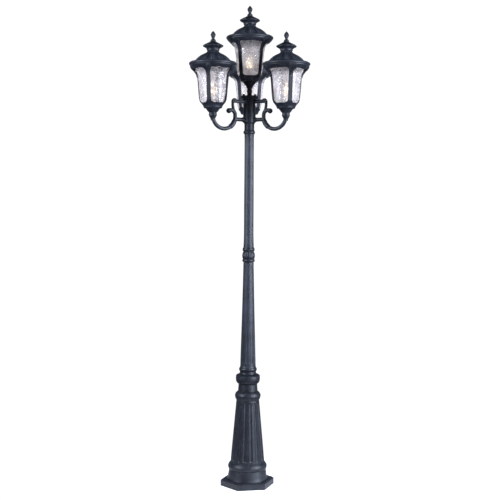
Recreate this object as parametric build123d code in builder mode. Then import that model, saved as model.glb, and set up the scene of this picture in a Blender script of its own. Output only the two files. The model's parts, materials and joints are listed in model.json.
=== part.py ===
from build123d import *
import math
import os

os.makedirs("parts", exist_ok=True)

# A garden post light: a hexagonal foot, a fluted post in four lengths, a hub with three
# scrolled arms, and four like lanterns, one over the hub and one on each arm.
# Millimetres. The origin is on the post's axis at the underside of the foot, +Z is up,
# and two of the arms point towards -Y, one to each side.

# The post and its foot are screwed together a little out of line with the arms.
foot_turn = 10
post_turn = 13
upper_turn = -1
flutes = 16
upper_flutes = 8
arc_facets = 5
tube_sides = 16

# Foot
plate_corner = 133
plate_edge = 27
bevel_corner = 126
plate_top = 33
foot_top = 116
foot_bore = 80
floor_thickness = 14
cable_hole = 35
anchor_circle = 112
anchor_hole = 5.5
anchors = 6

# Fluted base column
column_bottom_radius = 84
column_flute_low = 134
column_flute_high = 418
column_screw_height = 411
column_shoulder = 420
column_shoulder_radius = 56.3
column_top = 500
neck_bore = 38

# Post lengths, by the height where each one ends
collar_top = 590
lower_shaft_top = 1100
mid_collar_top = 1176
upper_shaft_top = 1724
fitter_top = 1779
shaft_bore = 16
joint_radius = 20
fitter_bore = 18.2
fit_gap = 0.2

# Hub
hub_radius = 30.5
hub_bore = 26
hub_floor = 6
hub_top = 1900
cap_radius = 44
cap_top = 1911
cap_nut_circle = 32
nipple_radius = 13
nipple_bore = 9

# Arms, by distance from the post's axis and height
arm_angles = {"left": 210, "right": 330, "rear": 90}
arm_reach = 201.5
arm_tube = 9.5
arm_wire_way = 4
hook_radius = 60.75
hook_height = 1808.5
scroll_radius = 22
scroll_height = 1817
scroll_end_angle = 55
scroll_ball = 12.5
knuckle_radius = 12
knuckle_angles = (203, 232)
strap_tube = 7
strap_bend = 10
strap_top = 1880.5
strap_radius = 80
lower_bar = 1795.6
upper_bar = 1883
upper_bar_radius = 8.8
spigot_radius = 5
cup_radius = 19.4
arm_cup_top = 1820

# Lanterns: height of each one's underside, and the turn of the centre one on its stem
stem_top = 1960
centre_turn = 5
ribs = 4
rib_width = 20
rib_web = 5
rib_depth = 4
glass_thickness = 3
glass_gap = 0.4
window_bottom = 46
window_corner = 20
bowl_floor = 32
glass_seat = 43.8
glass_top = 210
cornice_bottom = 206.5
cornice_step = 217
cornice_top = 226
cornice_bore = 87.5
cornice_step_radius = 100
roof_neck_top = 299
cap_seat = 338.6
finial_top = 388.2
stud_radius = 2.5
stud_top = 361
wire_nipple = 6
wire_nipple_bore = 3.5
socket_bottom = 42
socket_top = 80



def facets(curve, count):
    """Evenly spaced points along a curve. A ring swept from them is a stack of plain cones."""
    return [((curve @ (i / count)).X, (curve @ (i / count)).Y) for i in range(count + 1)]


def smooth(points):
    """Points twice as close, along the smooth curve through the given ones."""
    return facets(Spline(*points, mode=Mode.PRIVATE), 2 * len(points) - 1)


def turn(lines=(), arcs=(), curves=(), about=Axis.Z):
    """Adds the ring that an outline of (radius, height) points sweeps about an upright axis."""
    with BuildSketch(Plane.XZ) as outline:
        with BuildLine():
            for run in lines:
                Polyline(*run)
            for run in arcs:
                Polyline(*facets(ThreePointArc(*run, mode=Mode.PRIVATE), arc_facets))
            for run in curves:
                Polyline(*smooth(run))
        make_face()
    revolve(outline.sketch, axis=about)


def inset(line, amount):
    """The same line of points, moved towards the axis."""
    return [(r - amount, z) for r, z in line]


def groove(low, high):
    """A round-ended cutter for one flute. Each end is (shaft radius, height, groove radius, depth)."""
    (x1, z1, q1), (x2, z2, q2) = [(r + q - depth, z, q) for r, z, q, depth in (low, high)]
    along = Vector(x2 - x1, z2 - z1).normalized()
    across = Vector(-along.Y, along.X)
    start, end = Vector(x1, z1), Vector(x2, z2)
    round_low = (start - along * q1, start + (across - along) * q1 * math.sqrt(0.5), start + across * q1)
    round_high = (end + across * q2, end + (across + along) * q2 * math.sqrt(0.5), end + along * q2)
    with BuildPart() as tool:
        with BuildSketch(Plane.XZ):
            with BuildLine():
                ThreePointArc(*round_low)
                Line(round_low[2], round_high[0])
                ThreePointArc(*round_high)
                Line(round_high[2], round_low[0])
            make_face()
        revolve(axis=Axis((x1, 0, z1), (x2 - x1, 0, z2 - z1)))
    return tool.part


def cut_flutes(tool, count=flutes, turned=post_turn):
    """Cuts the flute all round the open part."""
    with PolarLocations(0, count, start_angle=turned - 90):
        add(tool, mode=Mode.SUBTRACT)


def save(shape, name):
    """Names a finished piece and writes it."""
    shape.label = name
    export_step(shape, f"parts/{name}.step")


# The ribs' outer edge from the bowl's rim to the cornice, and the panes' outer face
rib_line = smooth([(65, 63), (67.4, 78), (70.7, 115), (73.6, 149), (78.6, 183), (83.3, 195),
                   (88.3, 202.5), (95, 209)])
glass_line = [(51.9, 44), (57.4, 55)] + inset([p for p in rib_line if p[1] < 202.5], rib_depth + glass_gap)
glass_line += [(86.6, glass_top)]

# Foot: a bevelled hexagonal plate with a drum and a round ring cast on it
with BuildPart() as base_foot:
    with BuildSketch():
        RegularPolygon(plate_corner, 6, rotation=foot_turn)
    extrude(amount=plate_edge)
    with BuildSketch(Plane.XY.offset(plate_edge)):
        RegularPolygon(plate_corner, 6, rotation=foot_turn)
    with BuildSketch(Plane.XY.offset(plate_top)):
        RegularPolygon(bevel_corner, 6, rotation=foot_turn)
    loft()
    turn(
        lines=[[(84.8, foot_top), (foot_bore, foot_top), (foot_bore, plate_top - 5), (100, plate_top - 5),
                (100, plate_top)],
               [(94.2, 60), (90.6, 80)]],
        arcs=[[(100, plate_top), (96.6, 46), (94.2, 60)]],
        curves=[[(90.6, 80), (95, 88), (96, 97), (92.2, 107), (84.8, foot_top)]],
    )
    with BuildSketch(Plane.XY.offset(floor_thickness)):
        Circle(foot_bore)
    extrude(amount=plate_top, mode=Mode.SUBTRACT)
    Hole(cable_hole)
    with PolarLocations(anchor_circle, anchors, start_angle=foot_turn):
        Hole(anchor_hole)
save(base_foot.part, "base_foot")

# Fluted column with its ring and neck, standing in the foot on a spigot
column_groove = groove((82.3, column_flute_low, 14, 4.6), (57.3, column_flute_high - 9, 9, 3))
with BuildPart() as base_column:
    turn(
        lines=[[(72, 104), (foot_bore - fit_gap, 104), (foot_bore - fit_gap, foot_top),
                (column_bottom_radius, foot_top), (column_bottom_radius, 120), (83.1, 121),
                (column_shoulder_radius, column_shoulder), (56.1, 424)],
               [(52.5, 464), (48.3, 468), (46.1, column_top), (neck_bore, column_top), (neck_bore, 455),
                (45.5, column_shoulder), (72, 121), (72, 104)]],
        curves=[[(56.1, 424), (60.5, 432), (63.4, 444.5), (60, 456), (52.5, 464)]],
    )
    cut_flutes(column_groove)
    with PolarLocations(0, 3, start_angle=post_turn + 180 / flutes - 90):
        with Locations(Plane(origin=(50, 0, column_screw_height), x_dir=(0, 1, 0), z_dir=(1, 0, 0))):
            Cylinder(3.2, 30, mode=Mode.SUBTRACT)
save(base_column.part, "base_column")

# Cup-shaped collar that takes the lower shaft
with BuildPart() as cup_collar:
    turn(
        lines=[[(30, 480), (neck_bore - fit_gap, 480), (neck_bore - fit_gap, column_top), (46.3, column_top),
                (47.1, 503.6), (54.4, 508.7)],
               [(58.7, 543.6), (54, 548), (48.5, 550.5), (41.5, 553), (40.2, 558), (40, 565)],
               [(40, 583), (38.4, collar_top), (33, collar_top), (33, 560), (30, 560), (30, 480)]],
        arcs=[[(40, 565), (43.9, 573.5), (40, 583)]],
        curves=[[(54.4, 508.7), (57.9, 517), (59.5, 531), (58.7, 543.6)]],
    )
save(cup_collar.part, "cup_collar")

# Lower shaft
lower_groove = groove((37.3, 610, 6, 1.8), (25.9, 1084, 4.2, 1.2))
with BuildPart() as lower_shaft:
    turn(
        lines=[[(25.5, 1090), (25.5, lower_shaft_top), (joint_radius, lower_shaft_top), (joint_radius, 1128),
                (shaft_bore, 1128), (shaft_bore, 1090), (28, 600), (28, 561), (33 - fit_gap, 561),
                (33 - fit_gap, collar_top), (38.1, collar_top)]],
        curves=[[(38.1, collar_top), (35.4, 690), (31.8, 815), (28.5, 945), (25.5, 1090)]],
    )
    cut_flutes(lower_groove)
save(lower_shaft.part, "lower_shaft")

# Middle collar: two beads with a ball between them, screwed to both shafts
with BuildPart() as mid_collar:
    turn(
        lines=[[(25.8, 1102), (25.8, lower_shaft_top), (joint_radius + fit_gap, lower_shaft_top),
                (joint_radius + fit_gap, mid_collar_top), (25.7, mid_collar_top), (25.7, 1174.5)]],
        arcs=[[(25.8, 1102), (30.9, 1110), (27.9, 1117.5)],
              [(27.9, 1117.5), (31.8, 1135.5), (26.4, 1154.5)],
              [(26.4, 1154.5), (29.8, 1164.5), (25.7, 1174.5)]],
    )
save(mid_collar.part, "mid_collar")

# Upper shaft
upper_groove = groove((24.4, 1198, 9, 1.3), (23.1, 1708, 9, 1.2))
with BuildPart() as upper_shaft:
    turn(
        lines=[[(23.2, 1715), (23.2, upper_shaft_top), (18, upper_shaft_top), (18, 1764),
                (shaft_bore - 2, 1764),
                (shaft_bore - 2, 1740), (shaft_bore, 1730), (shaft_bore, 1146), (joint_radius, 1146),
                (joint_radius, mid_collar_top), (25.5, mid_collar_top)]],
        curves=[[(25.5, mid_collar_top), (24.3, 1208), (23.6, 1350), (23, 1550), (23.2, 1715)]],
    )
    cut_flutes(upper_groove, upper_flutes, upper_turn)
save(upper_shaft.part, "upper_shaft")

# Fitter between the shaft and the hub, with a bead and three set screws
with BuildPart() as top_fitter:
    turn(
        lines=[[(24.3, 1745), (24, 1748), (24, 1774), (26, fitter_top), (nipple_radius + fit_gap, fitter_top),
                (nipple_radius + fit_gap, 1765), (fitter_bore, 1765), (fitter_bore, upper_shaft_top),
                (23.7, upper_shaft_top), (23.7, 1726)]],
        arcs=[[(23.7, 1726), (28.7, 1735), (24.3, 1745)]],
    )
    with PolarLocations(0, 3, start_angle=-90):
        with Locations(Plane(origin=(20, 0, 1748), x_dir=(0, 1, 0), z_dir=(1, 0, 0))):
            Cylinder(2.6, 20, mode=Mode.SUBTRACT)
save(top_fitter.part, "top_fitter")

# Set screws: three in the fitter and three, larger, in the base column
with BuildPart() as set_screws:
    with PolarLocations(0, 3, start_angle=-90):
        with Locations(Plane(origin=(20, 0, 1748), x_dir=(0, 1, 0), z_dir=(1, 0, 0))):
            Cylinder(2.5, 3.6)
    with PolarLocations(0, 3, start_angle=post_turn + 180 / flutes - 90):
        with Locations(Plane(origin=(51.5, 0, column_screw_height), x_dir=(0, 1, 0), z_dir=(1, 0, 0))):
            Cylinder(3.1, 7)
save(set_screws.part, "set_screws")

# Hub: a round box open at the top, with two holes for each arm
with BuildPart() as hub_body:
    turn(
        lines=[[(hub_radius, 1786), (hub_radius, 1892.2)],
               [(42, 1897), (42, hub_top), (hub_bore, hub_top), (hub_bore, fitter_top + hub_floor),
                (nipple_radius + fit_gap, fitter_top + hub_floor), (nipple_radius + fit_gap, fitter_top),
                (26, fitter_top)]],
        arcs=[[(26, fitter_top), (29.2, 1782), (hub_radius, 1786)],
              [(hub_radius, 1892.2), (33.7, 1895.6), (42, 1897)]],
    )
    for angle in arm_angles.values():
        for height in (lower_bar, upper_bar):
            direction = Vector(1, 0, 0).rotate(Axis.Z, angle)
            with Locations(Plane(origin=direction * 28 + Vector(0, 0, height), z_dir=direction)):
                Cylinder(spigot_radius + fit_gap, 12, mode=Mode.SUBTRACT)
save(hub_body.part, "hub_body")

# Hub's threaded tube and the nut that holds the hub down on the fitter
with BuildPart() as hub_nipple:
    turn(lines=[[(nipple_bore, 1766), (nipple_radius, 1766), (nipple_radius, 1794), (nipple_bore, 1794),
                 (nipple_bore, 1766)]])
save(hub_nipple.part, "hub_nipple")

with BuildPart() as hub_locknut:
    with BuildSketch(Plane.XY.offset(fitter_top + hub_floor)):
        RegularPolygon(18, 6)
        Circle(nipple_radius + 0.1, mode=Mode.SUBTRACT)
    extrude(amount=7)
save(hub_locknut.part, "hub_locknut")

# Hub cap with the stem's hole, and its three dome nuts
with BuildPart() as hub_cap:
    turn(
        lines=[[(hub_bore - fit_gap, 1894), (hub_bore - fit_gap, hub_top), (42, hub_top)],
               [(cap_radius, 1903), (cap_radius, 1907)],
               [(41, cap_top), (9.2, cap_top), (9.2, 1894), (hub_bore - fit_gap, 1894)]],
        arcs=[[(42, hub_top), (43.6, 1901), (cap_radius, 1903)],
              [(cap_radius, 1907), (43, 1909.8), (41, cap_top)]],
    )
save(hub_cap.part, "hub_cap")

with BuildPart() as hub_cap_nuts:
    for angle in arm_angles.values():
        centre = Vector(cap_nut_circle, 0, cap_top).rotate(Axis.Z, angle)
        with BuildSketch(Plane(origin=centre, z_dir=(0, 0, 1))):
            RegularPolygon(6, 6)
        extrude(amount=5)
        with Locations(centre + Vector(0, 0, 5)):
            Sphere(4.8)
save(hub_cap_nuts.part, "hub_cap_nuts")

# Stem that carries the centre lantern
with BuildPart() as centre_stem:
    turn(
        lines=[[(wire_nipple_bore, 1890), (9, 1890), (9, cap_top), (16, cap_top), (16, 1914),
                (12.5, 1917), (11.3, 1928)],
               [(11.3, 1941), (11.6, 1948), (16.5, 1954), (16.5, stem_top), (wire_nipple + 0.1, stem_top),
                (wire_nipple + 0.1, stem_top - 21), (wire_nipple_bore, stem_top - 21),
                (wire_nipple_bore, 1890)]],
        arcs=[[(11.3, 1928), (13, 1934.5), (11.3, 1941)]],
    )
save(centre_stem.part, "centre_stem")

# One arm, drawn pointing along +X: hook with its scroll and ball, strap, two bars and the cup
hook_left = arm_reach - 2 * hook_radius
scroll_centre = hook_left + scroll_radius
hook_centre = arm_reach - hook_radius


def on_circle(x, z, radius, angle):
    """A point of the arm's plane, at an angle round a centre."""
    return (x + radius * math.cos(math.radians(angle)), z + radius * math.sin(math.radians(angle)))


with BuildLine(Plane.XZ) as hook_path:
    Line((arm_reach, arm_cup_top - 8), (arm_reach, hook_height))
    ThreePointArc((arm_reach, hook_height), (hook_centre, hook_height - hook_radius),
                  (hook_left, hook_height))
    Line((hook_left, hook_height), (hook_left, scroll_height))
    ThreePointArc(
        (hook_left, scroll_height),
        on_circle(scroll_centre, scroll_height, scroll_radius, (180 + scroll_end_angle) / 2),
        on_circle(scroll_centre, scroll_height, scroll_radius, scroll_end_angle),
    )
knuckle_low, knuckle_high = [on_circle(hook_centre, hook_height, hook_radius, a) for a in knuckle_angles]
with BuildLine(Plane.XZ) as knuckle_path:
    ThreePointArc(
        knuckle_low, on_circle(hook_centre, hook_height, hook_radius, sum(knuckle_angles) / 2), knuckle_high
    )
strap_centre = hook_left + 3
strap_right = strap_centre + strap_bend
strap_foot = 1832
strap_drop = strap_top - 12 - strap_foot
strap_foot_x = strap_right - strap_radius + math.sqrt(strap_radius**2 - strap_drop**2)
strap_mid_x = strap_right - strap_radius + math.sqrt(strap_radius**2 - (strap_drop / 2) ** 2)
with BuildLine(Plane.XZ) as strap_path:
    ThreePointArc(
        on_circle(strap_centre, strap_top, strap_bend, 125),
        on_circle(strap_centre, strap_top, strap_bend, 62),
        (strap_right, strap_top),
    )
    Line((strap_right, strap_top), (strap_right, strap_top - 12))
    ThreePointArc(
        (strap_right, strap_top - 12), (strap_mid_x, strap_top - 12 - strap_drop / 2),
        (strap_foot_x, strap_foot)
    )
with BuildLine(Plane.XZ) as wire_path:
    ThreePointArc(
        (arm_reach, hook_height), (hook_centre, hook_height - hook_radius),
        on_circle(hook_centre, hook_height, hook_radius, 192),
    )

with BuildPart() as arm:
    with BuildSketch(Plane(origin=hook_path.line @ 0, z_dir=hook_path.line % 0)):
        RegularPolygon(arm_tube, tube_sides)
    sweep(path=hook_path.line)
    with Locations(hook_path.line @ 1):
        Sphere(scroll_ball)
    with BuildSketch(Plane(origin=knuckle_path.line @ 0, z_dir=knuckle_path.line % 0)):
        RegularPolygon(knuckle_radius, tube_sides)
    sweep(path=knuckle_path.line)
    with Locations(knuckle_path.line @ 0, knuckle_path.line @ 1):
        Sphere(knuckle_radius)
    with BuildSketch(Plane(origin=strap_path.line @ 0, z_dir=strap_path.line % 0)):
        RegularPolygon(strap_tube, tube_sides)
    sweep(path=strap_path.line)
    with Locations(strap_path.line @ 0):
        Sphere(strap_tube)
    for height, radius, length in ((lower_bar, arm_tube, hook_left),
                                   (upper_bar, upper_bar_radius, strap_centre + 2)):
        with BuildSketch(Plane.YZ.offset(hub_radius + 0.3)):
            with Locations((0, height)):
                RegularPolygon(radius, tube_sides)
        extrude(amount=length - hub_radius - 0.3)
        with BuildSketch(Plane.YZ.offset(17.5)):
            with Locations((0, height)):
                Circle(spigot_radius)
        extrude(amount=hub_radius)
    with BuildSketch(Plane.XZ):
        with BuildLine():
            Polyline(
                (hub_radius + 0.3, lower_bar), (hub_radius + 0.3, lower_bar - 13),
                (hub_radius + 5, lower_bar - 12),
                (46, lower_bar - 9), (46, lower_bar), close=True,
            )
        make_face()
    revolve(axis=Axis((0, 0, lower_bar), (1, 0, 0)))
    turn(
        lines=[[(arm_reach, 1784), (arm_reach + arm_tube + 0.6, 1784)],
               [(arm_reach + cup_radius, 1809), (arm_reach + cup_radius, 1814), (arm_reach + 18, 1817),
                (arm_reach + 18, arm_cup_top), (arm_reach, arm_cup_top), (arm_reach, 1784)]],
        curves=[[(arm_reach + arm_tube + 0.6, 1784), (arm_reach + 12.4, 1795), (arm_reach + 17, 1803.5),
                 (arm_reach + cup_radius, 1809)]],
        about=Axis((arm_reach, 0, 0), (0, 0, 1)),
    )
    with BuildSketch(Plane.XY.offset(arm_cup_top)):
        with Locations((arm_reach, 0)):
            Circle(wire_nipple + 0.1)
    extrude(amount=-21, mode=Mode.SUBTRACT)
    with BuildSketch(Plane(origin=wire_path.line @ 0, z_dir=wire_path.line % 0)):
        Circle(arm_wire_way)
    sweep(path=wire_path.line, mode=Mode.SUBTRACT)
    with BuildSketch(Plane.YZ.offset(17)):
        with Locations((0, lower_bar)):
            Circle(wire_nipple_bore)
    extrude(amount=hook_left - 17, mode=Mode.SUBTRACT)

for side, angle in arm_angles.items():
    save(arm.part.rotate(Axis.Z, angle), f"{side}_arm")

# Nuts on the arms' spigots, inside the hub
with BuildPart() as arm_nuts:
    for angle in arm_angles.values():
        direction = Vector(1, 0, 0).rotate(Axis.Z, angle)
        for height in (lower_bar, upper_bar):
            with BuildSketch(Plane(origin=direction * 19 + Vector(0, 0, height), z_dir=direction)):
                RegularPolygon(9, 6)
                Circle(spigot_radius + 0.1, mode=Mode.SUBTRACT)
            extrude(amount=5)
save(arm_nuts.part, "arm_nuts")


# The lantern's pieces, drawn about the axis with the lantern's underside at height 0.
# Its faces look along X and Y, and its ribs stand between them.
def corner_angles():
    return [360 / ribs * i + 45 for i in range(ribs)]


# Cage: neck, bowl, ribs, cornice and corner leaves in one casting
with BuildPart() as cage:
    turn(
        lines=[[(wire_nipple + 0.1, 0), (18.2, 0), (20, 3)],
               [(36, 21.5), (42.5, 22.5), (43.8, 25), (45.2, 29.5), (46.5, 32)],
               [(65, 63), (65.2, 66), (61.8, 66)],
               [(45, glass_seat), (43, 40), (36, bowl_floor + 3), (32, bowl_floor),
                (wire_nipple + 0.1, bowl_floor),
                (wire_nipple + 0.1, 0)],
               [(52.5, glass_seat), (45, glass_seat)]],
        curves=[[(20, 3), (24.6, 7.5), (28, 12), (31.5, 17), (36, 21.5)],
                [(46.5, 32), (52.2, 40.7), (60, 50.2), (63.8, 57), (65, 63)],
                [(61.8, 66), (61, 62), (58, 55), (52.5, glass_seat)]],
    )
    with BuildSketch(Plane.XZ.offset(38)) as window:
        with BuildLine():
            half = 0.707 * (rib_line[0][0] - rib_width / 2)
            Polyline((half, window_bottom + window_corner), (half, 90), (-half, 90),
                     (-half, window_bottom + window_corner))
            ThreePointArc(
                (-half, window_bottom + window_corner),
                (-half + window_corner * 0.293, window_bottom + window_corner * 0.293),
                (-half + window_corner, window_bottom),
            )
            Line((-half + window_corner, window_bottom), (half - window_corner, window_bottom))
            ThreePointArc(
                (half - window_corner, window_bottom),
                (half - window_corner * 0.293, window_bottom + window_corner * 0.293),
                (half, window_bottom + window_corner),
            )
        make_face()
    window_cutter = extrude(amount=40, mode=Mode.PRIVATE)
    with PolarLocations(0, ribs):
        add(window_cutter, mode=Mode.SUBTRACT)
    rib_foot = [(64.2, 60)] + rib_line
    for angle in corner_angles():
        radial = Plane(
            origin=(0, 0, 0), x_dir=Vector(1, 0, 0).rotate(Axis.Z, angle), z_dir=Vector(0, -1, 0).rotate(Axis.Z, angle)
        )
        for outer, depth, width in ((0, rib_depth, rib_width), (rib_depth - 0.1, 6.5, rib_web)):
            with BuildSketch(radial):
                with BuildLine():
                    Polyline(*inset(rib_foot, outer))
                    Polyline(*inset(rib_foot, outer + depth))
                    Line(inset(rib_foot, outer)[0], inset(rib_foot, outer + depth)[0])
                    Line(inset(rib_foot, outer)[-1], inset(rib_foot, outer + depth)[-1])
                make_face()
            extrude(amount=width / 2, both=True)
        with BuildSketch(radial):
            Polygon((88.6, 204), (93.5, 202.5), (103, 210.5), (112, 220.5), (112, cornice_top),
                    (cornice_step_radius + 0.5, cornice_top), (cornice_step_radius + 0.5, 216),
                    (89, 216), align=None)
        extrude(amount=10, both=True)
        with BuildSketch(radial):
            Polygon((cornice_step_radius + 0.5, 212), (104, 213.5), (110.5, 220), (110.5, cornice_top),
                    (cornice_step_radius + 0.5, cornice_top), align=None)
        extrude(amount=16, both=True)
    turn(
        lines=[[(cornice_bore, cornice_bottom), (91.5, cornice_bottom), (96.5, 209), (108.5, 221),
                (110, cornice_top),
                (cornice_step_radius, cornice_top), (cornice_step_radius, cornice_step),
                (cornice_bore, cornice_step),
                (cornice_bore, cornice_bottom)]],
    )

# Four bent panes, parted at the ribs
with BuildPart() as glass:
    with BuildSketch(Plane.XZ):
        with BuildLine():
            Polyline(*glass_line)
            Polyline(*inset(glass_line, glass_thickness))
            Line(glass_line[0], inset(glass_line, glass_thickness)[0])
            Line(glass_line[-1], inset(glass_line, glass_thickness)[-1])
        make_face()
    revolve(axis=Axis.Z)
    for angle in (45, 135):
        with Locations(Location((0, 0, 130), (0, 0, angle))):
            Box(220, rib_web + 0.8, 220, mode=Mode.SUBTRACT)

# Spring clips that keep the panes down, one over each
with BuildPart() as clips:
    for angle in range(0, 360, 90):
        radial = Plane(
            origin=(0, 0, 0), x_dir=Vector(1, 0, 0).rotate(Axis.Z, angle), z_dir=Vector(0, -1, 0).rotate(Axis.Z, angle)
        )
        with BuildSketch(radial):
            Polygon((84, glass_top + 0.2), (85.6, glass_top + 0.2), (85.6, cornice_step), (97, cornice_step),
                    (97, cornice_step + 1.6), (84, cornice_step + 1.6), align=None)
        extrude(amount=6, both=True)

# Strap across the cage with the stud that the finial screws on
with BuildPart() as crossbar:
    with Locations(Location((0, 0, cornice_step + 1.5), (0, 0, 45))):
        Box(198, 16, 3)
    with BuildSketch(Plane.XY.offset(cornice_step + 1)):
        Circle(stud_radius)
    extrude(amount=stud_top - cornice_step - 1)
    with BuildSketch(Plane.XY.offset(cornice_step + 3)):
        RegularPolygon(6, 6)
    extrude(amount=4)

# Roof: a thin bell with a thick lip
with BuildPart() as roof:
    turn(
        lines=[[(101, cornice_top), (112.4, cornice_top)], [(100, 242.2), (93, 241.6), (88.6, 243.4)],
               [(30.2, 296), (30.2, roof_neck_top), (3.5, roof_neck_top), (3.5, 293), (23, 293), (24.5, 288)],
               [(86, 239.4), (92, 237.6), (101, 236.6), (101, cornice_top)]],
        curves=[[(112.4, cornice_top), (114.8, 230), (114.8, 234.2), (112.6, 238.4), (107, 241.4),
                 (100, 242.2)],
                [(88.6, 243.4), (85.6, 247), (80.5, 253.2), (73.5, 260.2), (60.5, 270.2), (43, 280),
                 (34, 286.8), (30.2, 296)],
                [(24.5, 288), (31, 282.8), (41, 276.6), (58, 266.6), (70, 257.6), (77, 250.4), (82, 244),
                 (86, 239.4)]],
    )

# Cap that hides the roof's neck
with BuildPart() as roof_cap:
    turn(
        lines=[[(3.5, roof_neck_top), (30.2, roof_neck_top)], [(37, 308.2), (43.5, 310.8)],
               [(46.4, 321.4), (40, 324.2), (36, 326.2), (24, 332), (15.4, 336.4), (12.6, cap_seat),
                (3.5, cap_seat),
                (3.5, roof_neck_top)]],
        arcs=[[(30.2, roof_neck_top), (32.4, 304.4), (37, 308.2)]],
        curves=[[(43.5, 310.8), (48.2, 314.2), (48.9, 318), (46.4, 321.4)]],
    )

# Bud finial with the blind thread that takes the stud
with BuildPart() as finial:
    turn(
        lines=[[(2.8, cap_seat), (12.2, cap_seat)], [(0, finial_top), (0, stud_top + 2),
                                                     (2.8, stud_top + 2), (2.8, cap_seat)]],
        curves=[[(12.2, cap_seat), (13.6, 341.6), (13, 344.8), (10, 347.4), (6.4, 350.4)],
                [(6.4, 350.4), (7, 355), (9.6, 360), (12.6, 366.8), (12.6, 371.8), (9, 378.6),
                 (4.4, 384.2), (0, finial_top)]],
    )

# Lamp holder on the threaded wire tube, and the lamp
with BuildPart() as socket:
    turn(
        lines=[[(wire_nipple + 0.1, socket_bottom), (16, socket_bottom), (16, 50), (14.5, 53), (14.5, 76),
                (15.5, 77), (15.5, socket_top), (6.4, socket_top), (6.4, 60), (wire_nipple_bore, 60),
                (wire_nipple_bore, 49), (wire_nipple + 0.1, 49), (wire_nipple + 0.1, socket_bottom)]],
    )

with BuildPart() as bulb_base:
    turn(
        lines=[[(0, 60.5), (3, 60.5), (6, 63.5), (6, 80.4), (8.4, 80.4), (8.4, 83), (0, 83), (0, 60.5)]],
    )

with BuildPart() as bulb:
    turn(
        lines=[[(7.2, 83), (8.2, 83)], [(0, 152), (0, 150.8)]],
        curves=[[(8.2, 83), (14.2, 93), (17.5, 106), (15.2, 121), (9.2, 136), (3.4, 147), (0, 152)],
                [(0, 150.8), (2.8, 146.4), (8.4, 135.4), (14.3, 120.7), (16.5, 106), (13.3, 93.4),
                 (7.2, 83)]],
    )

with BuildPart() as wire_tube:
    turn(lines=[[(wire_nipple_bore, -20), (wire_nipple, -20), (wire_nipple, 48.8),
                 (wire_nipple_bore, 48.8), (wire_nipple_bore, -20)]])

with BuildPart() as lantern_nut:
    with BuildSketch(Plane.XY.offset(bowl_floor)):
        RegularPolygon(11, 6)
        Circle(wire_nipple + 0.1, mode=Mode.SUBTRACT)
    extrude(amount=6)

# Where each lantern stands: over the hub, and with a face looking outward along each arm
places = {"centre": Location((0, 0, stem_top), (0, 0, centre_turn))}
for side, angle in arm_angles.items():
    end = Vector(arm_reach, 0, arm_cup_top).rotate(Axis.Z, angle)
    places[side] = Location(end, (0, 0, angle))

pieces = {
    "cage": cage, "glass": glass, "crossbar": crossbar, "roof": roof, "roof_cap": roof_cap, "finial": finial,
    "socket": socket, "bulb_base": bulb_base, "bulb": bulb,
}
for side, place in places.items():
    for name, piece in pieces.items():
        save(piece.part.moved(place), f"{side}_{name}")

# Like fasteners of all four lanterns share a node
for name, piece in {"glass_clips": clips, "wire_tubes": wire_tube, "lantern_nuts": lantern_nut}.items():
    with BuildPart() as group:
        with Locations(*places.values()):
            add(piece.part)
    save(group.part, name)
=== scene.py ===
import json
import math

import bpy
import numpy as np
from mathutils import Matrix, Vector


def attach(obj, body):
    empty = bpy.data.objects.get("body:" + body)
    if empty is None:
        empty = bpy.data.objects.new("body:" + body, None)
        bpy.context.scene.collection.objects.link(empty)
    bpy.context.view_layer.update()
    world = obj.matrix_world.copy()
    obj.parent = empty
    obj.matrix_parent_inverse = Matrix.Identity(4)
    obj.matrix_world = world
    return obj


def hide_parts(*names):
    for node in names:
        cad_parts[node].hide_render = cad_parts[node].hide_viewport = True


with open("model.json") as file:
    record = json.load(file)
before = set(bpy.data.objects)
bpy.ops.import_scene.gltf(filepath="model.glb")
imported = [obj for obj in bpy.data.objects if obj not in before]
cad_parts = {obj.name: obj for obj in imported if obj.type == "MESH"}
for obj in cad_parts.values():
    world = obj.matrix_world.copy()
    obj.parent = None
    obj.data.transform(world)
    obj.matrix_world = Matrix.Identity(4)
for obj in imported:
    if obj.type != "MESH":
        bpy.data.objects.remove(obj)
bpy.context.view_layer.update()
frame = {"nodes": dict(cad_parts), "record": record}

mm = 0.001
armAngle = {"left": 210, "right": 330, "rear": 90}
lanternPlace = {"centre": ((0, 0, 1960), 5)}
for side, angle in armAngle.items():
    turned = math.radians(angle)
    lanternPlace[side] = ((201.5 * math.cos(turned), 201.5 * math.sin(turned), 1820), angle)


def smoothLine(points, steps):
    # Each span between two points is a cubic. Its slope at a point is half the step between the neighbours.
    p = np.asarray(points, float)
    if len(p) == 2:
        return p[0] + (p[1] - p[0]) * np.linspace(0, 1, max(2, steps // 4 + 1))[:, None]
    ends = np.vstack([2 * p[0] - p[1], p, 2 * p[-1] - p[-2]])
    a, b, c, d = ends[:-3, None], ends[1:-2, None], ends[2:-1, None], ends[3:, None]
    t = np.linspace(0, 1, steps, endpoint=False)[None, :, None]
    square, cube = 2 * a - 5 * b + 4 * c - d, 3 * b - a - 3 * c + d
    spans = 0.5 * (2 * b + (c - a) * t + square * t**2 + cube * t**3)
    return np.vstack([spans.reshape(-1, p.shape[1]), p[-1:]])


def outline(runs, steps=6):
    # The runs one after another, each starting on the last point of the one before.
    lines = [smoothLine(run, steps) for run in runs]
    return np.vstack([lines[0]] + [line[1:] for line in lines[1:]])


def normals2d(line):
    # A quarter turn of the direction along the line.
    along = np.gradient(line, axis=0)
    along /= np.maximum(np.linalg.norm(along, axis=1, keepdims=True), 1e-9)
    return np.stack([along[:, 1], -along[:, 0]], 1)


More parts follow.
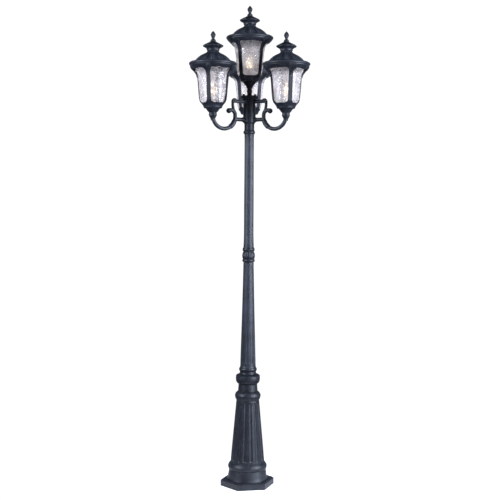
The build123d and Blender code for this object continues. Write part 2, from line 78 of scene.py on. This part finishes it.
def lathe(line, around, relief=0.0):
    # x is radius times cosine, y is radius times sine. The relief pushes points along the outline's normal.
    push = normals2d(line)
    angle = np.linspace(0, 2 * np.pi, around, endpoint=False)[None, :]
    relief = np.broadcast_to(relief, (len(line), around))
    r = line[:, :1] + push[:, :1] * relief
    z = line[:, 1:] + push[:, 1:] * relief
    return np.stack([r * np.cos(angle), r * np.sin(angle), z], -1)


def shell(grid, loopRows=False, poles=(None, None)):
    # Quads between neighbouring rows and columns. An open end has a fan to its pole, or to the row's middle.
    rows, cols = grid.shape[:2]
    index = np.arange(rows * cols).reshape(rows, cols)
    points, fans = [grid.reshape(-1, 3)], []
    if not loopRows:
        for row, pole in ((0, poles[0]), (-1, poles[1])):
            ring, centre = index[row], rows * cols + len(points) - 1
            points.append((grid[row].mean(0) if pole is None else np.asarray(pole, float))[None])
            following = np.roll(ring, -1)
            fan = np.stack([np.full(cols, centre), following, ring], 1)
            fans.append(fan if row == 0 else fan[:, ::-1])
    if loopRows:
        index = np.vstack([index, index[:1]])
    index = np.hstack([index, index[:, :1]])
    corners = [index[:-1, :-1], index[:-1, 1:], index[1:, 1:], index[1:, :-1]]
    quads = np.stack(corners, -1).reshape(-1, 4)
    points = np.vstack(points)
    fans = np.vstack(fans) if fans else np.zeros((0, 3), int)
    return outward(points, quads, fans)


def outward(points, quads, fans):
    # The signed volume of a closed shell is negative when its faces look inwards, so they are turned round.
    tris = np.vstack([quads[:, :3], quads[:, [0, 2, 3]], fans])
    a, b, c = (points[tris[:, k]] - points.mean(0) for k in range(3))
    if np.einsum("ij,ij->i", a, np.cross(b, c)).sum() < 0:
        quads, fans = quads[:, ::-1], fans[:, ::-1]
    return points, quads, fans


def gather(shapes):
    # Several shells as one, with each one's numbers moved past those before it.
    points, quads, fans, count = [], [], [], 0
    for p, q, f in shapes:
        points.append(p)
        quads.append(q + count)
        fans.append(f + count)
        count += len(p)
    return np.vstack(points), np.vstack(quads), np.vstack(fans)


def turnZ(points, degrees):
    a = math.radians(degrees)
    return points @ np.array([[math.cos(a), math.sin(a), 0], [-math.sin(a), math.cos(a), 0], [0, 0, 1]])


def atLantern(shape, side, extra=0):
    base, angle = lanternPlace[side]
    points, quads, fans = shape
    return turnZ(points, angle + extra) + np.array(base, float), quads, fans


def piece(name, shape, body, material, crease=35, paintedHighlight=None):
    # paintedHighlight, if given, is kept on each point for the material: 1 on what stands out, where a paler
    # highlight is painted on, 0 in the hollows.
    points, quads, fans = shape
    corners = np.concatenate([quads.ravel(), fans.ravel()]).astype(np.int32)
    sizes = np.concatenate([np.full(len(quads), 4), np.full(len(fans), 3)])
    starts = np.concatenate([[0], np.cumsum(sizes)[:-1]]).astype(np.int32)
    mesh = bpy.data.meshes.new(name)
    mesh.vertices.add(len(points))
    mesh.vertices.foreach_set("co", (points * mm).astype(np.float32).ravel())
    mesh.loops.add(len(corners))
    mesh.loops.foreach_set("vertex_index", corners)
    mesh.polygons.add(len(sizes))
    mesh.polygons.foreach_set("loop_start", starts)
    mesh.polygons.foreach_set("use_smooth", np.ones(len(sizes), bool))
    if paintedHighlight is not None:
        layer = mesh.attributes.new("paintedHighlight", "FLOAT", "POINT")
        layer.data.foreach_set("value", np.resize(paintedHighlight.ravel(), len(points)).astype(np.float32))
    mesh.update(calc_edges=True)
    mesh.set_sharp_from_angle(angle=math.radians(crease))
    made = bpy.data.objects.new(name, mesh)
    bpy.context.scene.collection.objects.link(made)
    made.data.materials.append(material)
    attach(made, body)
    return made


class Shade:
    # One value or colour on its way through a material.
    def __init__(self, tree, socket=None):
        self.tree, self.socket = tree, socket

    def node(self, kind, settings=None, inputs=None, output=0):
        # Any node: its settings first, then a value or a link for each named input.
        made = self.tree.nodes.new(kind)
        for key, value in (settings or {}).items():
            setattr(made, key, value)
        for key, value in (inputs or {}).items():
            if isinstance(value, Shade):
                self.tree.links.new(value.socket, made.inputs[key])
            else:
                made.inputs[key].default_value = value
        return Shade(self.tree, made.outputs[output] if made.outputs else None)

    def calc(self, operation, *others):
        return self.node("ShaderNodeMath", {"operation": operation}, dict(enumerate((self, *others))))

    def __add__(self, other): return self.calc("ADD", other)
    def __mul__(self, other): return self.calc("MULTIPLY", other)
    def __sub__(self, other): return self.calc("SUBTRACT", other)
    def __rsub__(self, other): return self.node("ShaderNodeMath", {"operation": "SUBTRACT"},
                                                {0: other, 1: self})
    __radd__, __rmul__ = __add__, __mul__

    def ramp(self, low, high):
        return self.node("ShaderNodeMapRange", {"clamp": True}, {0: self, 1: low, 2: high, 3: 0.0, 4: 1.0})

    def between(self, first, second):
        # Colour number one where the value is 0, number two where it is 1.
        inputs = {0: self}
        for key, colour in ((6, first), (7, second)):
            inputs[key] = colour if isinstance(colour, Shade) else (*colour, 1)
        return self.node("ShaderNodeMix", {"data_type": "RGBA"}, inputs, output=2)

    def noise(self, scale, detail=3.0, rough=0.5, stretch=(1, 1, 1)):
        place = self.node("ShaderNodeMapping", None, {"Vector": self, "Scale": stretch})
        inputs = {"Vector": place, "Scale": scale, "Detail": detail, "Roughness": rough}
        return self.node("ShaderNodeTexNoise", None, inputs)

    def cells(self, scale, feature="F1"):
        return self.node("ShaderNodeTexVoronoi", {"feature": feature}, {"Vector": self, "Scale": scale})

    def bump(self, distance, strength=1.0):
        return self.node("ShaderNodeBump", None, {"Height": self, "Distance": distance, "Strength": strength})


hazeColour = (1.0, 0.975, 0.985)


def newMaterial(name, describe, veil=None):
    # describe turns the Object coordinates into the shader's inputs, by name, and veil into a share of haze.
    material = bpy.data.materials.new(name)
    material.use_nodes = True
    material.node_tree.nodes.clear()
    start = Shade(material.node_tree)
    place = start.node("ShaderNodeTexCoord", output="Object")
    surface = start.node("ShaderNodeBsdfPrincipled", None, describe(place))
    if veil:
        milky = start.node("ShaderNodeBsdfTranslucent", None, {"Color": (*hazeColour, 1)})
        surface = start.node("ShaderNodeMixShader", None, {0: veil(place), 1: surface, 2: milky})
    start.node("ShaderNodeOutputMaterial", None, {"Surface": surface})
    return material


# edge is the paler colour of the painted highlight, laid on where paintedHighlight is 1.
coat = {"dark": (0.0040, 0.0048, 0.0075), "light": (0.011, 0.0125, 0.019),
        "dust": (0.046, 0.049, 0.064), "edge": (0.070, 0.082, 0.100), "gloss": 0.34}


def coated(tint, rough, grain):
    # Powder coat on a casting: fine pebbling, faint cloudy patches, a little dust, and a painted highlight, a
    # paler colour where the mesh's paintedHighlight value is set.
    def describe(place):
        pebbles = place.noise(grain, 2.0)
        cloud = place.noise(18, 3.0).ramp(0.35, 0.7)
        dust = place.noise(95, 4.0, 0.6).ramp(0.54, 0.76)
        dark = tuple(v * tint for v in coat["dark"])
        light = tuple(v * tint for v in coat["light"])
        paintedHighlight = place.node("ShaderNodeAttribute", {"attribute_name": "paintedHighlight"}, output="Fac")
        colour = paintedHighlight.between((dust * 0.5).between(cloud.between(dark, light), coat["dust"]), coat["edge"])
        return {"Base Color": colour, "Roughness": rough + pebbles * 0.14 + dust * 0.1,
                "Specular IOR Level": coat["gloss"],
                "Normal": (pebbles + place.cells(grain * 0.6) * 0.5).bump(0.00035, 0.55)}
    return describe


def plated(place):
    streaks = place.noise(220, 3.0, 0.6, (1, 1, 6))
    return {"Base Color": streaks.between((0.33, 0.33, 0.32), (0.52, 0.52, 0.49)), "Metallic": 1.0,
            "Roughness": 0.28 + streaks * 0.2, "Normal": streaks.bump(0.0001, 0.3)}


def brassy(place):
    wear = place.noise(180, 3.0)
    return {"Base Color": wear.between((0.45, 0.29, 0.1), (0.70, 0.50, 0.22)), "Metallic": 1.0,
            "Roughness": 0.25 + wear * 0.2}


def holder(place):
    stain = place.noise(90, 3.0).ramp(0.3, 0.8)
    return {"Base Color": stain.between((0.72, 0.68, 0.58), (0.82, 0.79, 0.70)),
            "Roughness": 0.45 + stain * 0.15}


def cracks(place):
    # 1 on the thin edges between cells whose outlines are pulled about by noise.
    wobble = {"Vector": place, "Scale": 90.0, "Detail": 2.0}
    pull = place.node("ShaderNodeTexNoise", None, wobble, output="Color")
    inputs = {0: pull, 1: (0.02, 0.02, 0.02), 2: place}
    pulled = place.node("ShaderNodeVectorMath", {"operation": "MULTIPLY_ADD"}, inputs, output="Vector")
    return 1 - pulled.cells(62, "DISTANCE_TO_EDGE").ramp(0.02, 0.22)


def waterGlass(place):
    # Clear glass with a seeded, crackled surface.
    waves = place.noise(230, 2.0, 0.5, (1, 1, 0.6))
    marks = cracks(place) * place.noise(45, 2.0).ramp(0.38, 0.60)
    return {"Base Color": marks.between((0.995, 0.985, 0.99), (0.34, 0.28, 0.36)),
            "Roughness": 0.10 + waves * 0.10, "Transmission Weight": 1.0, "IOR": 1.45,
            "Normal": (waves + cracks(place) * 0.35).bump(0.0012, 0.6)}


def milkyVeil(place):
    return 0.10 + cracks(place) * 0.30 + place.noise(60, 3.0).ramp(0.4, 0.75) * 0.20


def warmGlass(place):
    haze = place.noise(120, 2.0)
    return {"Base Color": haze.between((1.0, 0.93, 0.80), (1.0, 0.97, 0.92)), "Roughness": 0.12 + haze * 0.1,
            "Transmission Weight": 0.9, "IOR": 1.3,
            "Emission Color": haze.between((1.0, 0.88, 0.70), (1.0, 0.94, 0.82)), "Emission Strength": 0.32}


def glowing(place):
    ripple = place.noise(400, 1.0)
    return {"Base Color": ripple.between((1.0, 0.7, 0.3), (1.0, 0.85, 0.5)), "Roughness": 0.5 + ripple * 0.1,
            "Emission Color": ripple.between((1.0, 0.82, 0.58), (1.0, 0.88, 0.68)), "Emission Strength": 1.0}


# The shafts get the castings' powder coat made 1.7 times lighter: painted light, standing in for the brighter
# look of the lit shafts.
castCoat = newMaterial("castCoat", coated(1.0, 0.38, 700))
litShaftCoat = newMaterial("litShaftCoat", coated(1.7, 0.40, 900))
screwBlack = newMaterial("screwBlack", coated(0.35, 0.3, 1500))
zincPlate = newMaterial("zincPlate", plated)
brassThread = newMaterial("brassThread", brassy)
lampHolder = newMaterial("lampHolder", holder)
waveGlass = newMaterial("waveGlass", waterGlass, milkyVeil)
bulbGlass = newMaterial("bulbGlass", warmGlass)
hotWire = newMaterial("hotWire", glowing)
bySlot = {"cast_aluminium": castCoat, "shaft_aluminium": litShaftCoat, "dark_screw": screwBlack,
          "zinc_steel": zincPlate, "brass_thread": brassThread, "lamp_holder": lampHolder,
          "water_glass": waveGlass, "bulb_glass": bulbGlass}
for entry in frame["record"]["subparts"]:
    slots = frame["nodes"][entry["node"]].data.materials
    slots.clear()
    slots.append(bySlot[entry["material_slot"]])
print("materials done")

# beltHeight, beltReach and highlightBeltShare place a painted highlight band round the lip.
roofShape = {"lobes": 12, "lobeDepth": 6.2, "around": 288, "scallop": 0.2, "vein": 0.35,
             "beltHeight": 234, "beltReach": 3.5, "highlightBeltShare": 0.22}
lipRuns = [[(101, 226.3), (112, 226.3)],
           [(112, 226.3), (114.4, 229.6), (114.6, 233.4), (112, 237.4), (106.5, 240.2), (100, 241)],
           [(100, 241), (93, 240.6), (88.8, 243.4)]]
bellRun = [(88.8, 243.4), (85.6, 247), (80.5, 253.2), (73.5, 260.2), (60.5, 270.2), (43, 280), (34, 286.8),
           (30.2, 295.8)]
insideRuns = [[(30.2, 295.8), (30.2, 299)], [(30.2, 299), (3.5, 299)], [(3.5, 299), (3.5, 293)],
              [(3.5, 293), (23, 293)],
              [(23, 293), (24.5, 288), (31, 282.8), (41, 276.6), (58, 266.6), (70, 257.6), (77, 250.4),
               (82, 244), (86, 239.4)],
              [(86, 239.4), (92, 237.6), (101, 236.6)], [(101, 236.6), (101, 226.3)]]


def roofShell():
    # The bell carries lobes. Across a lobe the height is the root of one less the square of the way to its
    # edge, and each lobe starts on a rounded lower end. Between lobes the surface is at the groove's depth.
    # What comes with the shell is a painted highlight: paler colour on the lobes' edges, their side veins and
    # a belt on the lip.
    lip, bell, inside = outline(lipRuns), outline([bellRun], 10), outline(insideRuns)
    line = np.vstack([lip, bell[1:], inside[1:-1]])
    angle = np.linspace(0, 2 * np.pi, roofShape["around"], endpoint=False)
    across = np.abs(((angle * roofShape["lobes"] / (2 * np.pi)) % 1) - 0.5)[None, :] * 2
    way = np.zeros(len(line))
    way[len(lip) - 1:len(lip) - 1 + len(bell)] = np.linspace(0, 1, len(bell))
    onBell = np.zeros(len(line))
    onBell[len(lip):len(lip) + len(bell) - 2] = 1
    way = way[:, None]
    rounded = np.sqrt(np.clip(1 - across**2, 0, 1))
    started = np.clip((way - roofShape["scallop"] * across**2.2 - 0.02) / 0.035, 0, 1)
    vein = roofShape["vein"] * np.exp(-((across / 0.10) ** 2)) * np.clip(1.2 - way, 0, 1)
    height = (rounded - vein) * started * (0.45 + 0.55 * np.clip((0.97 - way) / 0.3, 0, 1))
    relief = (height - 1) * roofShape["lobeDepth"] * onBell[:, None]
    # edge marks where a paler highlight is painted on: the lobes' edges and their side veins.
    edge = np.clip(1 - np.abs(height - 0.55) / 0.3, 0, 1) + 0.6 * np.exp(-(((across - 0.42) / 0.07) ** 2))
    edge = edge * started * onBell[:, None] * np.clip(1.15 - way, 0, 1)
    # A paler belt painted round the lip's middle: a painted highlight where the lip's rounded front would
    # catch the light.
    fromBelt = (line[:, 1:] - roofShape["beltHeight"]) / roofShape["beltReach"]
    highlightBelt = np.exp(-(fromBelt**2)) * (line[:, :1] > 110)
    made = shell(lathe(line, roofShape["around"], relief), loopRows=True)
    return made, edge + roofShape["highlightBeltShare"] * highlightBelt


capShape = {"petals": 12, "depth": 1.6, "around": 192}
capRuns = [[(3.5, 299), (30.2, 299)], [(30.2, 299), (32.4, 304.4), (37, 308.2)], [(37, 308.2), (43.5, 310.8)],
           [(43.5, 310.8), (48.2, 314.2), (48.8, 318), (46.2, 321.4)],
           [(46.2, 321.4), (40, 324.2), (36, 326.2), (24, 332), (15.4, 336.4)],
           [(15.4, 336.4), (12.6, 338.6)], [(12.6, 338.6), (3.5, 338.6)], [(3.5, 338.6), (3.5, 299)]]


def capShell():
    # Shallow petals round the rim: the cosine of twelve turns, only where the outline is wide.
    line = outline(capRuns, 7)[:-1]
    angle = np.linspace(0, 2 * np.pi, capShape["around"], endpoint=False)[None, :]
    wide = np.clip((line[:, :1] - 33) / 8, 0, 1)
    relief = -wide * capShape["depth"] * (0.5 - 0.5 * np.cos(capShape["petals"] * angle))
    return shell(lathe(line, capShape["around"], relief), loopRows=True)


budShape = {"spirals": 3, "twist": 0.26, "scaleDepth": 1.9, "beads": 8, "beadDepth": 0.9, "around": 120}
budRuns = [[(0.4, 363), (2.8, 363)], [(2.8, 363), (2.8, 338.7)], [(2.8, 338.7), (12.2, 338.7)],
           [(12.2, 338.7), (13.4, 341.6), (12.9, 344.8), (10, 347.4)],
           [(10, 347.4), (6.8, 350.4), (6.9, 353.6), (8.1, 356.6)],
           [(8.1, 356.6), (9.7, 360), (12.5, 366.8), (12.5, 371.8), (9, 378.6), (4.4, 384.2), (0.5, 387.9)]]


def budShell():
    # A pine bud: scales where two families of spirals cross, and lobes round the base bead.
    line = outline(budRuns, 9)
    angle = np.linspace(0, 2 * np.pi, budShape["around"], endpoint=False)[None, :]
    z = line[:, 1:]
    bud = np.clip((z - 356) / 4, 0, 1) * np.clip((387 - z) / 4, 0, 1) * (line[:, :1] > 3)
    turned, climb = budShape["spirals"] * angle, (z - 357) * budShape["twist"]
    scales = np.abs(np.sin(turned + climb)) * np.abs(np.sin(turned - climb))
    bead = np.clip(1 - np.abs(z - 343) / 4, 0, 1) * (line[:, :1] > 6)
    relief = -bud * budShape["scaleDepth"] * (1 - scales**0.45)
    relief = relief - bead * budShape["beadDepth"] * (0.5 - 0.5 * np.cos(budShape["beads"] * angle))
    return shell(lathe(line, budShape["around"], relief), poles=((0, 0, 363), (0, 0, 388.1)))


(roofMade, roofPaintedHighlight), capMade, budMade = roofShell(), capShell(), budShell()
for side in lanternPlace:
    made = piece(f"{side}_roof_bell", atLantern(roofMade, side), f"{side}_roof_body", castCoat,
                 50, roofPaintedHighlight)
    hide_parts(f"{side}_roof")
    made = piece(f"{side}_roof_crown", atLantern(capMade, side), f"{side}_roof_body", castCoat,
                 40)
    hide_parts(f"{side}_roof_cap")
    made = piece(f"{side}_bud", atLantern(budMade, side), f"{side}_finial_body", castCoat,
                 60)
    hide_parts(f"{side}_finial")
print("roofs done")

leafShape = {"path": [(76.4, 170), (79.4, 180), (84.2, 189.5), (90.6, 198.5), (97.6, 206), (104.8, 214),
                      (111.2, 223.4)],
             "half": [9.8, 10.4, 12.5, 17, 22, 25, 24], "thick": 4.6, "teeth": 6, "toothDepth": 0.22,
             "droop": 0.08, "hang": 4, "ridge": 0.9, "vein": 1.3, "proud": 1.2}


def leafShell():
    # A flattened ring, wide across and thin through, is carried along the leaf's line and bent to the cage's
    # round. Its half width has teeth, its edges fall back by the square of the way across and hang by the
    # cube of it, and a vein runs down the middle.
    path = smoothLine(leafShape["path"], 10)
    half = smoothLine(np.array(leafShape["half"], float)[:, None], 10)
    way = np.linspace(0, 1, len(path))[:, None]
    teeth = 1 - leafShape["toothDepth"] * ((way * leafShape["teeth"]) % 1) * np.clip((way - 0.25) / 0.1, 0, 1)
    push = normals2d(path)
    ring = np.linspace(0, 2 * np.pi, 40, endpoint=False)[None, :]
    side = np.cos(ring)
    across = half * teeth * side
    front = np.clip(np.sin(ring) * 3, 0, 1)
    thick = leafShape["thick"] * (1 - 0.5 * side**2)
    folds = np.cos(6 * np.pi * np.abs(side) + 2.4 * way * np.pi)
    ridges = leafShape["ridge"] * folds * np.clip((way - 0.25) / 0.2, 0, 1)
    lift = 0.5 * thick * np.sin(ring) - leafShape["droop"] * half * side**2
    lift = lift + front * (ridges * (1 - side**4) + leafShape["vein"] * np.exp(-((side / 0.13) ** 2)))
    hang = leafShape["hang"] * np.abs(side) ** 3 * np.clip((way - 0.3) / 0.4, 0, 1)
    r = path[:, :1] + push[:, :1] * (lift + leafShape["proud"]) - 0.35 * hang
    z = path[:, 1:] + push[:, 1:] * (lift + leafShape["proud"]) - hang
    bend = across / r
    return shell(np.stack([r * np.cos(bend), r * np.sin(bend), z], -1))


leafMade = leafShell()
for side in lanternPlace:
    leaves = gather([atLantern(leafMade, side, 45 + 90 * k) for k in range(4)])
    piece(f"{side}_corner_leaves", leaves, "post", castCoat, 45)
print("leaves done")

paneShape = {"line": [(51.9, 44), (57.3, 55), (60.6, 63), (63.0, 78), (66.3, 115), (69.2, 149), (74.2, 183),
                      (78.9, 195), (83.0, 201.5), (86.6, 209.8)],
             "thick": 3.0, "gap": 2.9, "ripple": 0.26, "waves": 90, "sunk": 0.25}


def ripples(along, up, seed, count, shortest=5.0, longest=13.0):
    # The sum of many flat waves with seeded directions, lengths and phases, shallower up than across.
    rng = np.random.default_rng(seed)
    length = rng.uniform(shortest, longest, count)
    heading = rng.uniform(0, np.pi, count)
    phase = rng.uniform(0, 2 * np.pi, count)
    total = np.zeros(np.broadcast(along, up).shape)
    for size, turn, start in zip(length, heading, phase):
        across = along * np.cos(turn) + 0.5 * up * np.sin(turn)
        total += (size / longest) * np.sin(2 * np.pi / size * across + start)
    return total / np.sqrt(count) * 1.4


def paneShell(seed):
    # Points run up the outer face and down the inner one. Each row spans the angle between two rib webs, and
    # both faces are pushed along the normal by their own ripples. The outer face is a little sunk.
    outer = smoothLine(paneShape["line"], 11)
    push = normals2d(outer)
    inner = outer - push * paneShape["thick"]
    across = np.linspace(-1, 1, 72)[None, :]
    sides = []
    for number, line in enumerate((outer, inner[::-1])):
        angle = across * (np.pi / 4 - np.arcsin(paneShape["gap"] / line[:, :1]))
        wave = ripples(angle * 60, line[:, 1:], seed + number, paneShape["waves"]) * paneShape["ripple"]
        edge = np.clip((1 - np.abs(across)) / 0.08, 0, 1)
        wave = wave * edge * (1 if number else 0.5) - (0 if number else paneShape["sunk"])
        face = push if number == 0 else push[::-1]
        r, z = line[:, :1] + face[:, :1] * wave, line[:, 1:] + face[:, 1:] * wave
        sides.append(np.stack([r * np.cos(angle), r * np.sin(angle), z], -1))
    around = np.vstack(sides)
    return shell(np.swapaxes(around, 0, 1))


for number, side in enumerate(lanternPlace):
    panes = gather([atLantern(paneShell(10 * number + k), side, 90 * k) for k in range(4)])
    made = piece(f"{side}_panes", panes, "post", waveGlass, 60)
    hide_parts(f"{side}_glass")
print("glass done")

filament = {"path": [(-3, 84), (-3.4, 96), (-2.2, 112), (0, 119), (2.2, 112), (3.4, 96), (3, 84)],
            "radius": 0.8}


def tube(path, radius, sides=12):
    # A ring of the given radius at each point of a flat path, square to its direction.
    line = smoothLine(path, 6)
    push = normals2d(line)
    ring = np.linspace(0, 2 * np.pi, sides, endpoint=False)[None, :]
    x = line[:, :1] + push[:, :1] * radius * np.cos(ring)
    z = line[:, 1:] + push[:, 1:] * radius * np.cos(ring)
    return shell(np.stack([x, radius * np.sin(ring) + 0 * x, z], -1))


for side in lanternPlace:
    wire = atLantern(tube(filament["path"], filament["radius"]), side)
    piece(f"{side}_filament", wire, f"{side}_lamp_body", hotWire)
print("lamps done")

collarShape = {"leaves": 10, "depth": 2.0, "low": 1118.5, "high": 1153.5, "around": 160}
collarRuns = [[(20.3, 1102), (25.8, 1102)],
              [(25.8, 1102), (29.9, 1105.6), (30.8, 1110.4), (29.5, 1114.6), (27.7, 1117.5)],
              [(27.7, 1117.5), (30.5, 1124), (31.9, 1134), (30.7, 1144.5), (26.3, 1154.5)],
              [(26.3, 1154.5), (28.9, 1159.5), (29.7, 1164.5), (28.5, 1169.6), (25.8, 1174.5)],
              [(25.8, 1174.5), (25.7, 1176)], [(25.7, 1176), (20.3, 1176)], [(20.3, 1176), (20.3, 1102)]]


def collarShell():
    # Pointed leaves round the ball. The height falls towards a leaf's edge, which closes in higher up.
    line = outline(collarRuns, 9)[:-1]
    angle = np.linspace(0, 2 * np.pi, collarShape["around"], endpoint=False)[None, :]
    z, r = line[:, 1:], line[:, :1]
    low, high = collarShape["low"], collarShape["high"]
    ball = ((z > low) & (z < high) & (r > 25.5)).astype(float)
    up = np.clip((z - low) / (high - low), 0, 1)
    across = np.abs(((angle * collarShape["leaves"] / (2 * np.pi)) % 1) - 0.5) * 2
    leaf = np.clip(1 - (across / np.clip(1.15 - 0.75 * up**2, 0.1, 2)) ** 2, 0, 1) ** 0.5
    relief = ball * collarShape["depth"] * (leaf - 1) * np.sin(np.pi * np.clip(up, 0.02, 0.98)) ** 0.3
    return shell(lathe(line, collarShape["around"], relief), loopRows=True)


made = piece("mid_collar_leaves", collarShell(), "post", castCoat, 45)
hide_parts("mid_collar")
print("collar done")

floorShape = {"half": 0.8, "solid": 0.2, "gone": 0.7}


def paleFloor(place):
    # Near white, fading out between the solid and gone distances from the post.
    speck = place.noise(3, 2.0)
    away = place.node("ShaderNodeVectorMath", {"operation": "LENGTH"}, {0: place}, output="Value")
    return {"Base Color": speck.between((0.88, 0.88, 0.88), (0.92, 0.92, 0.92)),
            "Roughness": 0.85 + speck * 0.05,
            "Alpha": 1 - away.ramp(floorShape["solid"], floorShape["gone"]),
            "Emission Color": (1.0, 1.0, 1.0, 1), "Emission Strength": 0.5}


floorMesh = bpy.data.meshes.new("floor")
wide = floorShape["half"]
floorCorners = [(-wide, -wide, 0), (wide, -wide, 0), (wide, wide, 0), (-wide, wide, 0)]
floorMesh.from_pydata(floorCorners, [], [(0, 1, 2, 3)])
floor = bpy.data.objects.new("floor", floorMesh)
bpy.context.scene.collection.objects.link(floor)
floor.data.materials.append(newMaterial("paleFloor", paleFloor))

# Metres, radians, and the focal length in pixels of the photo, which is 500 wide.
cameraFit = {"away": 4.886, "high": 1.369, "focal": 997.3, "down": 0.0425, "aside": 0.0014, "roll": 0.0058,
             "pixels": 500, "sensor": 36}
down, aside, roll = cameraFit["down"], cameraFit["aside"], cameraFit["roll"]
forward = Vector((math.sin(aside) * math.cos(down), math.cos(aside) * math.cos(down), -math.sin(down)))
right = forward.cross(Vector((0, 0, 1))).normalized()
up = right.cross(forward)
across = right * math.cos(roll) + up * math.sin(roll)
above = up * math.cos(roll) - right * math.sin(roll)
cameraData = bpy.data.cameras.new("camera")
cameraData.sensor_width = cameraFit["sensor"]
cameraData.lens = cameraFit["sensor"] * cameraFit["focal"] / cameraFit["pixels"]
cameraData.clip_end = 200
camera = bpy.data.objects.new("camera", cameraData)
bpy.context.scene.collection.objects.link(camera)
camera.matrix_world = Matrix.Translation((0, -cameraFit["away"], cameraFit["high"])) @ Matrix(
    [[across[k], above[k], -forward[k]] for k in range(3)]).to_4x4()
bpy.context.scene.camera = camera
bpy.context.scene.view_settings.view_transform = "Standard"

studio = {"dark": (0.018, 0.020, 0.028), "cove": (0.30, 0.34, 0.42), "seen": (1.04, 1.04, 1.04),
          "through": (1.3, 1.3, 1.3), "lightColour": (0.76, 0.84, 1.0)}
world = bpy.data.worlds.new("studio")
bpy.context.scene.world = world
world.use_nodes = True
world.node_tree.nodes.clear()
sky = Shade(world.node_tree)
# A pale cove behind, dark above and in front. What is seen straight or through glass is plain white.
facing = sky.node("ShaderNodeTexCoord", output="Generated")
parts = facing.node("ShaderNodeSeparateXYZ", None, {"Vector": facing}, output=1)
behind = parts.ramp(-0.25, 0.8)
height = facing.node("ShaderNodeVectorMath", {"operation": "DOT_PRODUCT"}, {0: facing, 1: (0, 0, 1)},
                     output="Value")
level = 1 - height.calc("ABSOLUTE").ramp(0.15, 0.75)
seen = sky.node("ShaderNodeLightPath", output="Is Camera Ray")
through = sky.node("ShaderNodeLightPath", output="Is Transmission Ray")
cove = (behind * level).between(studio["dark"], studio["cove"])
colour = through.between(seen.between(cove, studio["seen"]), studio["through"])
shine = sky.node("ShaderNodeBackground", None, {"Color": colour, "Strength": 1.0})
sky.node("ShaderNodeOutputWorld", None, {"Surface": shine})

# Where each light stands, what it points at, its width and height, and its power in watts.
lights = {"key": ((3.0, -1.6, 1.8), (0, 0, 1.4), (1.4, 2.8), 330),
          "left": ((-2.9, -1.6, 2.4), (0, 0, 1.7), (1.1, 2.0), 200),
          "low": ((0.95, -2.7, 0.55), (0, 0, 0.4), (0.14, 1.0), 12),
          "high": ((1.6, -1.4, 4.2), (0, 0, 2.1), (0.5, 0.5), 12),
          "waist": ((1.5, -1.5, 1.05), (0, 0, 0.9), (0.6, 0.4), 15),
          "waistLeft": ((-1.6, -1.3, 1.15), (0, 0, 0.95), (0.5, 0.4), 9)}
for name, (place, aim, size, power) in lights.items():
    data = bpy.data.lights.new(name, "AREA")
    data.shape, data.size, data.size_y, data.energy = "RECTANGLE", size[0], size[1], power
    data.color = studio["lightColour"]
    lamp = bpy.data.objects.new(name, data)
    bpy.context.scene.collection.objects.link(lamp)
    lamp.location = place
    lamp.rotation_euler = (Vector(aim) - Vector(place)).to_track_quat("-Z", "Y").to_euler()
print("stage done")
